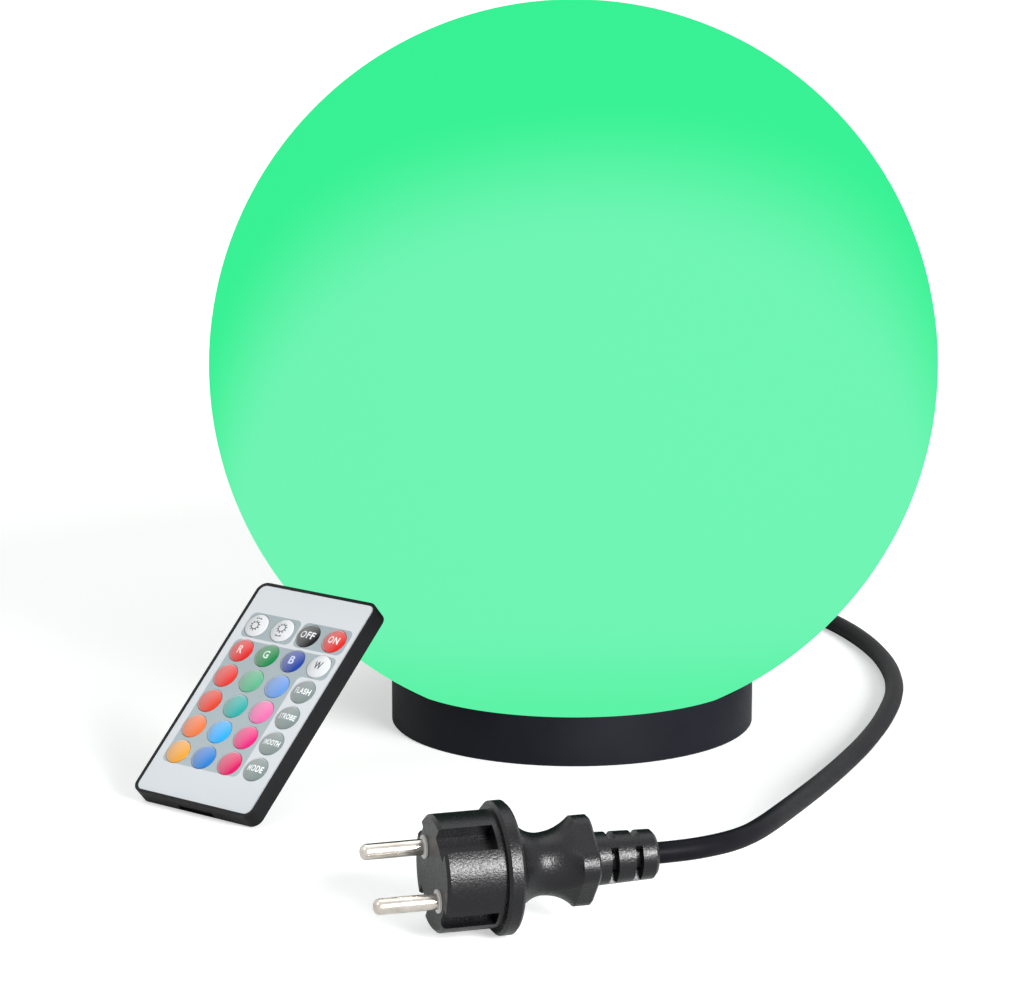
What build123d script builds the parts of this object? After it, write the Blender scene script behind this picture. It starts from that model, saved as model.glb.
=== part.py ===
from build123d import *
import math
import os

# A garden globe light: a blow-moulded globe on a low base ring with its lampholder, bulb and mains
# cord, and the flat infrared remote that leans against it.
# Origin on the floor at the middle of the base, +Z up, the front of the light towards -Y.

# ---------------------------------------------------------------- driving sizes, mm and degrees
# Globe
globe_radius = 125.0
globe_wall = 2.5
opening_setback = 12.0
rim_depth = 2.4
rim_width = 4.2
lug_count = 3
lug_half_span = 9.0
lug_height = 2.4

# Base
base_radius = 63.0
base_wall = 3.0
base_foot_chamfer = 0.5
cover_thickness = 2.2
chamber_height = 8.2
deck_thickness = 2.0
collar_setback = 4.0
collar_wall = 2.6
keeper_reach = 3.2
keeper_height = 2.2
keeper_half_span = 14.0
seal_width = 4.0
seal_thickness = 0.65
cover_screw_count = 4
cover_screw_setback = 13.0
cover_screw_turn = 45.0
screw_radius = 1.5
screw_head_radius = 2.9
screw_head_height = 1.5
screw_boss_radius = 3.6

# Lampholder and its column
column_radius = 13.0
column_wall = 3.0
column_height = 26.0
column_foot_radius = 24.0
column_foot_thickness = 2.5
column_rib_thickness = 2.4
column_screw_circle = 19.0
column_screw_count = 3
holder_radius = 19.5
holder_lip_radius = 21.0
holder_height = 34.0
holder_bottom = 4.0
sleeve_radius = 14.4
sleeve_wall = 0.8
sleeve_length = 28.6
contact_radius = 5.0
contact_thickness = 1.2

# Bulb
cap_radius = 13.2
cap_length = 26.0
cap_wall = 1.0
tip_radius = 4.6
tip_height = 2.0
bulb_radius = 29.5
housing_length = 45.0
housing_spigot = 8.0
housing_shoulder = 6.0
housing_flare = 18.0
housing_edge = 6.0
dome_skirt = 3.0
dome_wall = 1.4
led_board_radius = 24.0
led_board_thickness = 1.6
led_size = 5.0
led_height = 1.4
led_count = 9
led_circle = 15.0

# Mains cord
cord_diameter = 6.5
cord_exit_turn = 112.0
bush_radius = 4.95
bush_shoulder_radius = 6.6
bush_length = 22.0
bush_end_radius = 4.4
coil_centre = (0.0, 146.0)
coil_turns_wide = 3
coil_layers = 2
coil_mean_radius = 36.0
cord_lift = 0.05

# Plug
pin_radius = 2.4
pin_length = 19.0
pin_spacing = 19.0
pin_root_radius = 1.9
pin_tip_round = 1.9
plug_nose_radius = 17.4
plug_nose_length = 18.0
plug_nose_chamfer = 0.9
clip_notch_width = 8.4
clip_notch_depth = 5.2
guide_notch_width = 6.0
guide_notch_depth = 3.0
notch_land = 2.0
flange_radius = 19.8
flange_thickness = 5.0
neck_radius = 9.25
neck_length = 19.5
neck_start_radius = 16.6
grip_width = 23.0
grip_corner = 6.5
grip_length = 5.5
relief_radius = 8.0
relief_end_radius = 7.4
relief_length = 20.0
relief_slot_width = 2.3
relief_core_radius = 4.6
relief_web = 3.2
relief_web_count = 3
collar_depth = 6.0
pin_collar_radius = 3.5
pin_collar_height = 0.6
plug_place = (-23.5, -239.8)
plug_heading = 18.0
plug_roll = 50.0

# Remote
remote_width = 52.0
remote_length = 86.0
remote_thickness = 6.6
remote_corner = 3.6
remote_back_wall = 0.85
remote_rim = 1.0
plate_thickness = 0.8
key_flange_reach = 0.55
key_flange_thickness = 0.4
key_dome_height = 0.75
key_stand = 0.15
key_travel = 0.4
key_columns = 4
key_rows = 6
key_land = 1.57
key_side_setback = 8.975
key_field_top = 16.8
key_field_bottom = 17.35
board_thickness = 0.5
board_margin = 3.0
mat_thickness = 0.3
pip_radius = 1.6
pip_height = 0.1
coin_radius = 10.0
coin_thickness = 2.5
tray_width = 26.4
tray_length = 27.6
tray_floor = 0.2
tray_notch_width = 15.0
tray_notch_depth = 1.6
emitter_radius = 1.5
emitter_length = 6.4
remote_lean = 42.0
remote_turn = 52.0
remote_shift = -20.0

# Named clearances
rest_gap = 0.3
slide_gap = 0.1
shaft_gap = 0.05
key_gap = 0.2

# ---------------------------------------------------------------- worked out from the sizes above
chamber_top = cover_thickness + chamber_height
deck_top = chamber_top + deck_thickness
opening_radius = base_radius - opening_setback
collar_radius = opening_radius - collar_setback
cover_screw_circle = base_radius - cover_screw_setback
rim_radius = opening_radius + rim_width
globe_centre_height = deck_top + seal_thickness + rest_gap + math.sqrt(globe_radius**2 - rim_radius**2)
cord_radius = cord_diameter / 2
cord_exit_height = cover_thickness + chamber_height / 2 + 0.3
column_top = deck_top + column_height
holder_top = column_top + holder_height
cap_base = column_top + holder_bottom + contact_thickness + tip_height + 3 * rest_gap
cap_top = cap_base + cap_length
housing_top = cap_top + housing_length
coil_half_width = coil_turns_wide * cord_diameter / 2
coil_height = coil_layers * cord_diameter + cord_lift
cord_floor = cord_radius + cord_lift
plug_height = flange_radius

key_column_pitch = (remote_width - 2 * key_side_setback) / (key_columns - 1)
key_row_pitch = (remote_length - key_field_top - key_field_bottom) / (key_rows - 1)
key_radius = (min(key_column_pitch, key_row_pitch) - key_land) / 2
key_stem_hole = key_radius + key_gap
tray_base = remote_back_wall + slide_gap
board_seat = tray_base + tray_floor + coin_thickness + 1.5 * slide_gap
mat_seat = board_seat + board_thickness
pip_top = mat_seat + mat_thickness + pip_height
flange_base = pip_top + key_travel + shaft_gap
plate_seat = flange_base + key_flange_thickness
plate_top = plate_seat + plate_thickness

key_names = [
    ["key_brighter", "key_dimmer", "key_off", "key_on"],
    ["key_red", "key_green", "key_blue", "key_white"],
    ["key_scarlet", "key_mint", "key_sky", "key_flash"],
    ["key_vermilion", "key_teal", "key_pink", "key_strobe"],
    ["key_orange", "key_azure", "key_rose", "key_smooth"],
    ["key_amber", "key_cobalt", "key_magenta", "key_mode"],
]


# ---------------------------------------------------------------- small shape helpers
def polar(radius, angle):
    """A point in the plane at this radius and angle in degrees."""
    return (radius * math.cos(math.radians(angle)), radius * math.sin(math.radians(angle)))


def disc(radius, bottom, top):
    """A solid round slab about the Z axis between two heights."""
    return extrude(Plane.XY.offset(bottom) * Circle(radius), top - bottom)


def tube(outer, inner, bottom, top):
    """A plain sleeve about the Z axis between two heights."""
    return disc(outer, bottom, top) - disc(inner, bottom, top)


def ring_sector(inner, outer, bottom, top, middle, half_span):
    """A block of a ring: its section turned through twice the half span."""
    middle_place = Pos((inner + outer) / 2, (bottom + top) / 2)
    section = Plane.XZ * middle_place * Rectangle(outer - inner, top - bottom)
    return Rot(0, 0, middle - half_span) * revolve(section, Axis.Z, revolution_arc=2 * half_span)


def sphere_height(radius, ball_radius):
    """Height of the underside of a ball about the globe's centre, at this distance from the axis."""
    return globe_centre_height - math.sqrt(ball_radius**2 - radius**2)


def turned(points):
    """A solid of revolution about Z from its outline in radius and height."""
    return revolve(Plane.XZ * make_face(Polyline(*points, close=True)), Axis.Z)


def around(count, radius, start=0.0):
    """Places evenly round a circle, as plan points."""
    return [polar(radius, start + step * 360 / count) for step in range(count)]


def countersunk_screw(length):
    """A screw along +Z with its flat head at the bottom, at z 0."""
    head = turned([(0, 0), (screw_head_radius, 0), (screw_radius, screw_head_height), (0, screw_head_height)])
    return head + disc(screw_radius, screw_head_height, length)


def countersunk_hole(depth):
    """The hole that the screw sits in, a shaft gap larger all over."""
    head_radius = screw_head_radius + shaft_gap
    hole_radius = screw_radius + shaft_gap
    cone = turned([(0, 0), (head_radius, 0), (hole_radius, screw_head_height), (0, screw_head_height)])
    return cone + disc(hole_radius, screw_head_height, depth)


# ---------------------------------------------------------------- globe
def make_globe():
    """The ball's wall, its flat rim round the opening, and three lugs that hook under the collar."""
    rim_height = sphere_height(rim_radius, globe_radius)
    inner_radius = globe_radius - globe_wall
    ball = Pos(0, 0, globe_centre_height) * (Sphere(globe_radius) - Sphere(inner_radius))
    cutter = disc(globe_radius, -globe_radius, rim_height)
    opening = disc(opening_radius, rim_height, globe_centre_height)
    shell = ball - cutter - (opening - Pos(0, 0, globe_centre_height) * Sphere(inner_radius))
    rim = tube(rim_radius, opening_radius, rim_height, rim_height + rim_depth)
    rim = rim & Pos(0, 0, globe_centre_height) * Sphere(globe_radius)
    shell = shell + rim
    lug_inner = collar_radius + rest_gap
    for step in range(lug_count):
        middle = step * 360 / lug_count
        lug = ring_sector(lug_inner, opening_radius + 1, lug_bottom(), lug_top(), middle, lug_half_span)
        shell = shell + lug
    return shell


def lug_bottom():
    """Underside of the lugs, at the height of the rim's lower face."""
    return sphere_height(rim_radius, globe_radius)


def lug_top():
    """Upper side of the lugs, which the keepers hold down."""
    return lug_bottom() + lug_height


# ---------------------------------------------------------------- base
def keeper_bottom():
    """Underside of the collar's keepers, a rest gap above the lugs."""
    return lug_top() + rest_gap


def make_base_housing():
    """Ring wall, deck and bayonet collar in one moulding, with screw bosses under the deck."""
    seat_radius = globe_radius + rest_gap
    inner = base_radius - base_wall
    wall = turned(
        [
            (base_radius - base_foot_chamfer, 0),
            (base_radius, base_foot_chamfer),
            (base_radius, sphere_height(base_radius, seat_radius)),
            (inner, sphere_height(inner, seat_radius)),
            (inner, 0),
        ]
    )
    deck = disc(inner + 0.5, chamber_top, deck_top)
    collar_top = keeper_bottom() + keeper_height
    collar = tube(collar_radius, collar_radius - collar_wall, deck_top, collar_top)
    housing = wall + deck + collar
    for step in range(lug_count):
        middle = step * 360 / lug_count
        keeper_inner = collar_radius - 1
        keeper_outer = collar_radius + keeper_reach
        keeper = ring_sector(
            keeper_inner, keeper_outer, keeper_bottom(), collar_top, middle, keeper_half_span
        )
        housing = housing + keeper
    for x, y in around(cover_screw_count, cover_screw_circle, cover_screw_turn):
        housing = housing + Pos(x, y, 0) * disc(screw_boss_radius, cover_thickness, chamber_top)
    for x, y in around(column_screw_count, column_screw_circle, column_screw_start()):
        housing = housing + Pos(x, y, 0) * disc(screw_boss_radius, cover_thickness + 1, chamber_top)
    for x, y in around(cover_screw_count, cover_screw_circle, cover_screw_turn):
        housing = housing - Pos(x, y, 0) * disc(screw_radius + shaft_gap, 0, cover_screw_length() + 0.5)
    for x, y in around(column_screw_count, column_screw_circle, column_screw_start()):
        housing = housing - Pos(x, y, column_screw_end() - 0.5) * disc(screw_radius + shaft_gap, 0, deck_top)
    housing = housing - disc(wire_hole_radius(), chamber_top, deck_top)
    return housing - cord_bore()


def wire_hole_radius():
    """The hole in the deck that the lead turns up through."""
    return column_radius - column_wall - 1


def cord_axis_place(radius):
    """A place on the cord's exit axis at this distance from the light's axis."""
    x, y = polar(radius, cord_exit_turn)
    return Plane(
        origin=(x, y, cord_exit_height),
        x_dir=(0, 0, 1),
        z_dir=(*polar(1, cord_exit_turn), 0),
    )


def cord_bore():
    """The round hole through the ring wall for the cord's bush."""
    start = cord_axis_place(base_radius - base_wall - 1)
    return extrude(start * Circle(bush_radius + shaft_gap), 2 * base_wall)


def cover_screw_length():
    """The cover's screws end a little under the deck."""
    return chamber_top - 1.0


def make_base_cover():
    """The flat bottom plate that closes the wiring chamber."""
    plate = disc(base_radius - base_wall - rest_gap, 0, cover_thickness)
    rim_edge = plate.edges().group_by(Axis.Z)[0]
    plate = chamfer(rim_edge, base_foot_chamfer)
    for x, y in around(cover_screw_count, cover_screw_circle, cover_screw_turn):
        plate = plate - Pos(x, y, 0) * countersunk_hole(cover_thickness)
    return plate


def make_cover_screws():
    """Four countersunk screws that hold the cover to the bosses."""
    screw = countersunk_screw(cover_screw_length())
    return [Pos(x, y, 0) * screw for x, y in around(cover_screw_count, cover_screw_circle, cover_screw_turn)]


def make_rim_seal():
    """The rubber ring on the deck that the globe's rim presses."""
    middle = opening_radius + rim_width / 2
    seal_top = lug_bottom() - rest_gap
    return tube(middle + seal_width / 2, middle - seal_width / 2, deck_top, seal_top)


# ---------------------------------------------------------------- lampholder
def column_screw_start():
    """The column's screws stand clear of the lead's way in."""
    return cord_exit_turn + 180


def column_screw_end():
    """Lowest point of the column's screws."""
    return cover_thickness + 2


def make_column():
    """Foot, tube and a rib between each two screws, which carry the lampholder above the deck."""
    foot_top = deck_top + column_foot_thickness
    foot = disc(column_foot_radius, deck_top, foot_top)
    stem = disc(column_radius, foot_top, column_top)
    column = foot + stem
    rib_rise = column_height * 0.6
    rib_reach = column_foot_radius - column_radius - 1
    rib = Plane.XZ * make_face(
        Polyline(
            (column_radius - 1, foot_top),
            (column_radius + rib_reach, foot_top),
            (column_radius - 1, foot_top + rib_rise),
            close=True,
        )
    )
    rib = Pos(0, column_rib_thickness / 2, 0) * extrude(rib, column_rib_thickness)
    between = 180 / column_screw_count
    for x, y in around(column_screw_count, column_screw_circle, column_screw_start() + between):
        angle = math.degrees(math.atan2(y, x))
        column = column + Rot(0, 0, angle) * rib
    column = column - disc(column_radius - column_wall, deck_top, column_top)
    for x, y in around(column_screw_count, column_screw_circle, column_screw_start()):
        column = column - Pos(x, y, foot_top) * Rot(180, 0, 0) * countersunk_hole(column_foot_thickness)
    return column


def make_column_screws():
    """Three countersunk screws from above into the deck's bosses."""
    top = deck_top + column_foot_thickness
    screw = Rot(180, 0, 0) * countersunk_screw(top - column_screw_end())
    places = around(column_screw_count, column_screw_circle, column_screw_start())
    return [Pos(x, y, top) * screw for x, y in places]


def make_holder_body():
    """The lampholder's insulating cup, with a lip round its mouth."""
    floor = column_top + holder_bottom
    lip_height = 5.0
    cup = turned(
        [
            (0, column_top),
            (holder_radius - 2, column_top),
            (holder_radius, column_top + 2),
            (holder_radius, holder_top - lip_height),
            (holder_lip_radius, holder_top - lip_height + 1),
            (holder_lip_radius, holder_top),
            (0, holder_top),
        ]
    )
    return cup - disc(sleeve_radius + shaft_gap, floor, holder_top) - disc(cord_radius + 1, column_top, floor)


def make_holder_sleeve():
    """The sleeve that takes the bulb's screw cap."""
    base = column_top + holder_bottom
    return tube(sleeve_radius, sleeve_radius - sleeve_wall, base, base + sleeve_length)


def make_holder_contact():
    """The middle contact at the bottom of the holder."""
    base = column_top + holder_bottom
    return disc(contact_radius, base, base + contact_thickness)


# ---------------------------------------------------------------- bulb
def make_bulb_cap():
    """The thin screw shell of the bulb, closed at the bottom round the tip."""
    shoulder = 3.0
    outer = turned(
        [
            (0, cap_base),
            (cap_radius - shoulder, cap_base),
            (cap_radius, cap_base + shoulder),
            (cap_radius, cap_top),
            (0, cap_top),
        ]
    )
    return outer - disc(cap_radius - cap_wall, cap_base + shoulder, cap_top)


def make_bulb_tip():
    """The contact button under the cap."""
    return disc(tip_radius, cap_base - tip_height, cap_base)


def make_bulb_housing():
    """The tapered body between cap and dome, with its spigot in the cap."""
    spigot = disc(cap_radius - cap_wall - shaft_gap, cap_top - housing_spigot, cap_top + 2)
    flare = [
        (0, cap_top),
        (cap_radius + 0.8, cap_top),
        (cap_radius + 2.2, cap_top + housing_shoulder),
        (bulb_radius - 5, housing_top - housing_flare),
        (bulb_radius - 0.8, housing_top - housing_edge),
        (bulb_radius, housing_top),
        (0, housing_top),
    ]
    return spigot + turned(flare)


def make_led_board():
    """The round board on top of the housing."""
    return disc(led_board_radius, housing_top, housing_top + led_board_thickness)


def make_led_chips():
    """Light-emitting chips in a ring, and one in the middle that holds the infrared receiver."""
    base = housing_top + led_board_thickness
    chip = Box(led_size, led_size, led_height, align=(Align.CENTER, Align.CENTER, Align.MIN))
    ring = [
        Pos(*place, base) * Rot(0, 0, math.degrees(math.atan2(place[1], place[0]))) * chip
        for place in around(led_count - 1, led_circle)
    ]
    return ring + [Pos(0, 0, base) * chip]


def dome_solid(radius):
    """A short upright skirt with half a ball on top."""
    skirt_top = housing_top + dome_skirt
    cap = Pos(0, 0, skirt_top) * Sphere(radius) & disc(radius + 1, skirt_top, skirt_top + radius + 1)
    return disc(radius, housing_top, skirt_top) + cap


def make_bulb_dome():
    """The diffusing dome over the chips."""
    return dome_solid(bulb_radius) - dome_solid(bulb_radius - dome_wall)


# ---------------------------------------------------------------- cord
def corner_radii(points):
    """The largest arc each corner of a route can take."""
    radii = []
    for before, here, after in zip(points, points[1:], points[2:]):
        run_in = Vector(*here) - Vector(*before)
        run_out = Vector(*after) - Vector(*here)
        half_turn = math.radians(run_in.get_angle(run_out)) / 2
        radii.append(0.45 * min(run_in.length, run_out.length) / math.tan(half_turn))
    return radii


def cord_tube(name, points):
    """A round tube along straight runs joined by arcs. It prints its length and tightest arc."""
    radii = corner_radii(points)
    path = FilletPolyline(*points, radius=radii)
    section = Plane(origin=path @ 0, z_dir=path % 0) * Circle(cord_radius)
    solid = sweep(section, path=path)
    expected = math.pi * cord_radius**2 * path.length
    print(name, "length", round(path.length, 1), "radii", [round(r, 1) for r in radii])
    print(name, "volume over section times length", round(solid.volume / expected, 5))
    return solid


def lead_route():
    """From the bush down to the floor and alongside the coil's outer turn."""
    outer_turn = coil_mean_radius + (coil_turns_wide - 1) / 2 * cord_diameter
    left = coil_centre[0] - outer_turn
    start = polar(base_radius + bush_length, cord_exit_turn)
    second = polar(base_radius + bush_length + 16, cord_exit_turn)
    return [
        (*start, cord_exit_height),
        (*second, cord_exit_height - 0.9),
        (left - 0.6, 114.0, 4.0),
        (left - 0.9, 130.0, cord_floor),
        (left, coil_centre[1], cord_floor),
    ]


def run_route():
    """From the coil's top turn round behind and beside the light to the plug."""
    outer_turn = coil_mean_radius + (coil_turns_wide - 1) / 2 * cord_diameter
    top_turn = cord_floor + (coil_layers - 1) * cord_diameter
    left = coil_centre[0] - outer_turn
    return [
        (left, coil_centre[1], top_turn),
        (-43.2, 163.8, 8.9),
        (-35.8, 181.5, 7.2),
        (-20.1, 194.0, 5.4),
        (1.0, 200.1, 4.0),
        (24.9, 198.0, cord_floor),
        (48.0, 188.4, cord_floor),
        (69.3, 171.8, cord_floor),
        (86.9, 150.0, cord_floor),
        (101.0, 123.5, cord_floor),
        (110.9, 92.0, cord_floor),
        (115.5, 59.3, cord_floor),
        (115.2, 25.3, cord_floor),
        (111.0, -9.4, cord_floor),
        (104.0, -43.7, 3.6),
        (95.5, -77.6, 5.2),
        (86.5, -110.4, 8.2),
        (77.1, -141.0, 11.8),
        (68.5, -166.6, 15.0),
        (60.9, -186.2, 17.2),
        (54.6, -199.8, 18.5),
        (48.4, -209.4, 19.3),
        (41.2, -216.4, 19.7),
        (33.1, -221.3, plug_height),
        plug_tail(),
    ]


def plug_tail():
    """The end of the plug's strain relief, where the cord goes in."""
    reach = flange_thickness + neck_length + grip_length + relief_length
    x, y = polar(reach, plug_heading)
    return (plug_place[0] + x, plug_place[1] + y, plug_height)


def make_cord_coil():
    """The closed outer shape of the tied coil of spare cord."""
    section = RectangleRounded(2 * coil_half_width, coil_height, cord_radius - 0.1)
    ring = revolve(Plane.XZ * Pos(coil_mean_radius, coil_height / 2) * section, Axis.Z)
    return Pos(*coil_centre, 0) * ring


def make_cord_bush():
    """The rubber bush in the ring wall and its tapered tail."""
    inner = base_radius - base_wall
    outline = [
        (cord_radius + shaft_gap, inner),
        (bush_radius, inner),
        (bush_radius, base_radius + rest_gap),
        (bush_shoulder_radius, base_radius + rest_gap),
        (bush_shoulder_radius, base_radius + 3),
        (bush_radius + 0.9, base_radius + 5),
        (bush_end_radius, base_radius + bush_length),
        (cord_radius + shaft_gap, base_radius + bush_length),
    ]
    return cord_axis_place(0).location * turned(outline)


def make_inner_lead():
    """The stretch of cord inside the bush and chamber, which turns up through the deck."""
    start = (*polar(base_radius + bush_length, cord_exit_turn), cord_exit_height)
    bend = (0.0, 0.0, cord_exit_height)
    end = (0.0, 0.0, column_top + holder_bottom - 1)
    path = FilletPolyline(start, bend, end, radius=bend_radius())
    section = Plane(origin=path @ 0, z_dir=path % 0) * Circle(cord_radius)
    return sweep(section, path=path)


def bend_radius():
    """The bend of the lead under the deck."""
    return 1.35 * cord_diameter


# ---------------------------------------------------------------- plug
def plug_plane():
    """The plug's own frame: X along the pins, Z through the upper clip notch, origin on the flange."""
    along = Vector(*polar(-1, plug_heading), 0)
    sideways = Vector(*polar(1, plug_heading - 90), 0)
    lift = math.radians(plug_roll)
    up = sideways * math.cos(lift) + Vector(0, 0, 1) * math.sin(lift)
    return Plane(origin=(*plug_place, plug_height), x_dir=along, z_dir=up)


def plug_slab(radius, start, end):
    """A round slab about the plug's X axis."""
    return extrude(Plane.YZ.offset(start) * Circle(radius), end - start)


def plug_notch(width, depth):
    """A straight groove along the plug's nose, on its upper side."""
    length = plug_nose_length - notch_land
    centre = (notch_land + length / 2 + 1, 0, plug_nose_radius - depth / 2 + 1)
    return Pos(*centre) * Box(length + 2, width, depth + 2)


def make_plug_body():
    """Nose with notches, flange, waisted neck, square grip and slotted strain relief, one moulding."""
    nose = plug_slab(plug_nose_radius, 0, plug_nose_length)
    nose = chamfer(nose.edges().sort_by(Axis.X)[-1], plug_nose_chamfer)
    for turn in (0, 180):
        nose = nose - Rot(turn, 0, 0) * plug_notch(clip_notch_width, clip_notch_depth)
    for turn in (90, 270):
        nose = nose - Rot(turn, 0, 0) * plug_notch(guide_notch_width, guide_notch_depth)
    flange = plug_slab(flange_radius, -flange_thickness, 0)
    flange = chamfer(flange.edges().filter_by(GeomType.CIRCLE), 0.9)
    neck_end = -flange_thickness - neck_length
    grip_end = neck_end - grip_length
    grip = extrude(Plane.YZ.offset(grip_end) * grip_outline(1), grip_length)
    grip = chamfer(grip.faces().sort_by(Axis.X)[0].edges(), 0.8)
    body = nose + flange + make_neck(neck_end) + grip + make_relief(grip_end)
    for y, z in pin_places():
        back = plug_nose_length - collar_depth
        body = body - Pos(0, y, z) * plug_slab(pin_collar_radius + shaft_gap, back, plug_nose_length)
    return body


def grip_outline(share):
    """The grip's square outline with round corners, or a smaller one like it."""
    return RectangleRounded(share * grip_width, share * grip_width, share * grip_corner)


def make_neck(neck_end):
    """The neck: round where it leaves the flange and at its waist, then flared into the square grip."""
    waist = -flange_thickness - neck_length * 0.5
    half = -flange_thickness - neck_length * 0.2
    curve = Spline(
        (-flange_thickness, neck_start_radius),
        (half, neck_radius + 0.28 * (neck_start_radius - neck_radius)),
        (waist, neck_radius),
        tangents=[(-0.25, -1), (-1, 0)],
    )
    sides = Polyline(
        (waist, neck_radius),
        (waist, 0),
        (-flange_thickness, 0),
        (-flange_thickness, neck_start_radius),
    )
    front = revolve(make_face(curve + sides), Axis.X)
    share = 2 * neck_radius / grip_width
    middle = (waist + neck_end) / 2
    flare = loft(
        [
            Plane.YZ.offset(neck_end) * grip_outline(1),
            Plane.YZ.offset(middle) * RectangleRounded(
                (share + 0.07) * grip_width, (share + 0.07) * grip_width, 0.42 * grip_width
            ),
            Plane.YZ.offset(waist) * RectangleRounded(2 * neck_radius, 2 * neck_radius, 0.99 * neck_radius),
        ]
    )
    return front + flare


def make_relief(start):
    """The strain relief, with two rows of slots between narrow webs."""
    end = start - relief_length
    relief = revolve(
        make_face(
            Polyline(
                (start, 0),
                (start, relief_radius),
                (end + 1, relief_end_radius),
                (end, relief_end_radius - 1),
                (end, 0),
                close=True,
            )
        ),
        Axis.X,
    )
    for share in (0.3, 0.68):
        middle = start - share * relief_length
        ring = plug_slab(relief_radius + 1, middle - relief_slot_width / 2, middle + relief_slot_width / 2)
        ring = ring - plug_slab(relief_core_radius, middle - relief_slot_width, middle + relief_slot_width)
        web = Pos(middle, 0, relief_radius) * Box(2 * relief_slot_width, relief_web, 2 * relief_radius)
        for step in range(relief_web_count):
            ring = ring - Rot(step * 360 / relief_web_count, 0, 0) * web
        relief = relief - ring
    return relief


def pin_places():
    """Both pins' places across the plug's face."""
    return [(-pin_spacing / 2, 0), (pin_spacing / 2, 0)]


def make_pin_collars():
    """The pale insulating collar round each pin's root, a little proud of the plug's face."""
    back = plug_nose_length - collar_depth
    face = plug_nose_length + pin_collar_height
    collar = plug_slab(pin_collar_radius, back, face) - plug_slab(pin_root_radius + shaft_gap, back, face)
    return [Pos(0, *place) * collar for place in pin_places()]


def make_pin(place):
    """A solid round pin with a thinner root in the carrier and a rounded tip."""
    face = plug_nose_length + pin_collar_height
    shank = plug_slab(pin_radius, face, face + pin_length)
    shank = fillet(shank.edges().sort_by(Axis.X)[-1], pin_tip_round)
    root = plug_slab(pin_root_radius, plug_nose_length - collar_depth, face)
    return Pos(0, *place) * (shank + root)


# ---------------------------------------------------------------- remote
def remote_plane():
    """The remote's own frame: X across it, Y up its length, Z out of its face, origin at its foot."""
    lean = math.radians(remote_lean)
    across = Vector(*polar(1, remote_turn - 90), 0)
    inwards = Vector(*polar(1, remote_turn), 0)
    normal = Vector(0, 0, 1) * math.cos(lean) - inwards * math.sin(lean)
    top_height = remote_length * math.sin(lean)
    reach = math.sqrt((globe_radius + rest_gap) ** 2 - (globe_centre_height - top_height) ** 2)
    foot = inwards * -(reach + remote_length * math.cos(lean)) + across * remote_shift
    return Plane(origin=foot, x_dir=across, z_dir=normal)


def rounded_slab(width, low, high, corner, bottom, top):
    """A slab with round corners between two lengths and two heights of the remote."""
    outline = Pos(0, (low + high) / 2) * RectangleRounded(width, high - low, corner)
    return extrude(Plane.XY.offset(bottom) * outline, top - bottom)


def key_places():
    """Each key's name and place on the face, row by row from the top."""
    places = []
    for row in range(key_rows):
        for column in range(key_columns):
            x = (column - (key_columns - 1) / 2) * key_column_pitch
            y = remote_length - key_field_top - row * key_row_pitch
            places.append((key_names[row][column], x, y))
    return places


def make_remote_case():
    """The black tray-shaped case with its rim, board seat, battery bay and emitter hole."""
    case = rounded_slab(remote_width, 0, remote_length, remote_corner, 0, remote_thickness)
    case = chamfer(case.faces().sort_by(Axis.Z)[0].edges(), 0.6)
    inset = remote_rim
    recess_width = remote_width - 2 * inset
    recess = rounded_slab(
        recess_width, inset, remote_length - inset, remote_corner - inset, plate_seat, remote_thickness
    )
    well_width = remote_width - 2 * board_margin + 2 * slide_gap
    well_low = board_margin - slide_gap
    well = rounded_slab(well_width, well_low, remote_length - well_low, 1.0, board_seat, plate_seat)
    bay_width = tray_width + 2 * slide_gap
    bay_length = tray_length + 1.2
    bay = Pos(0, bay_length / 2, (remote_back_wall + board_seat) / 2) * Box(
        bay_width, bay_length, board_seat - remote_back_wall
    )
    hole_length = emitter_length + rest_gap
    hole = Pos(0, remote_length - hole_length, emitter_height()) * Rot(-90, 0, 0) * disc(
        emitter_radius + slide_gap, 0, hole_length
    )
    return case - recess - well - bay - hole


def emitter_height():
    """The emitter lies just under the board."""
    return board_seat - emitter_radius - slide_gap


def make_emitter():
    """The infrared emitter, a small round-nosed cylinder at the remote's top end."""
    body = disc(emitter_radius, 0, emitter_length - 0.4)
    body = fillet(body.edges().sort_by(Axis.Z)[-1], emitter_radius * 0.8)
    return Pos(0, remote_length - emitter_length, emitter_height()) * Rot(-90, 0, 0) * body


def make_face_plate():
    """The face plate, with a round hole for each key."""
    inset = remote_rim + slide_gap
    plate = rounded_slab(
        remote_width - 2 * inset, inset, remote_length - inset, remote_corner - inset, plate_seat, plate_top
    )
    for name, x, y in key_places():
        plate = plate - Pos(x, y, 0) * disc(key_stem_hole, plate_seat, plate_top)
    return plate


def make_key():
    """One key: a flange under the plate, a stem through it and a low dome above."""
    stem_top = plate_top + key_stand
    top = stem_top + key_dome_height
    ball_radius = (key_radius**2 + key_dome_height**2) / (2 * key_dome_height)
    stem = disc(key_radius, flange_base, top) & Pos(0, 0, top - ball_radius) * Sphere(ball_radius)
    return stem + disc(key_radius + key_flange_reach, flange_base, plate_seat)


def make_remote_board():
    """The circuit board under the keys."""
    low = board_margin
    width = remote_width - 2 * low
    return rounded_slab(width, low, remote_length - low, 1.0, board_seat, board_seat + board_thickness)


def make_contact_mat():
    """The rubber contact sheet with a low pip under each key."""
    low = board_margin + 1
    width = remote_width - 2 * low
    mat = rounded_slab(width, low, remote_length - low, 1.0, mat_seat, mat_seat + mat_thickness)
    for name, x, y in key_places():
        mat = mat + Pos(x, y, 0) * disc(pip_radius, mat_seat + mat_thickness, pip_top)
    return mat


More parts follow.
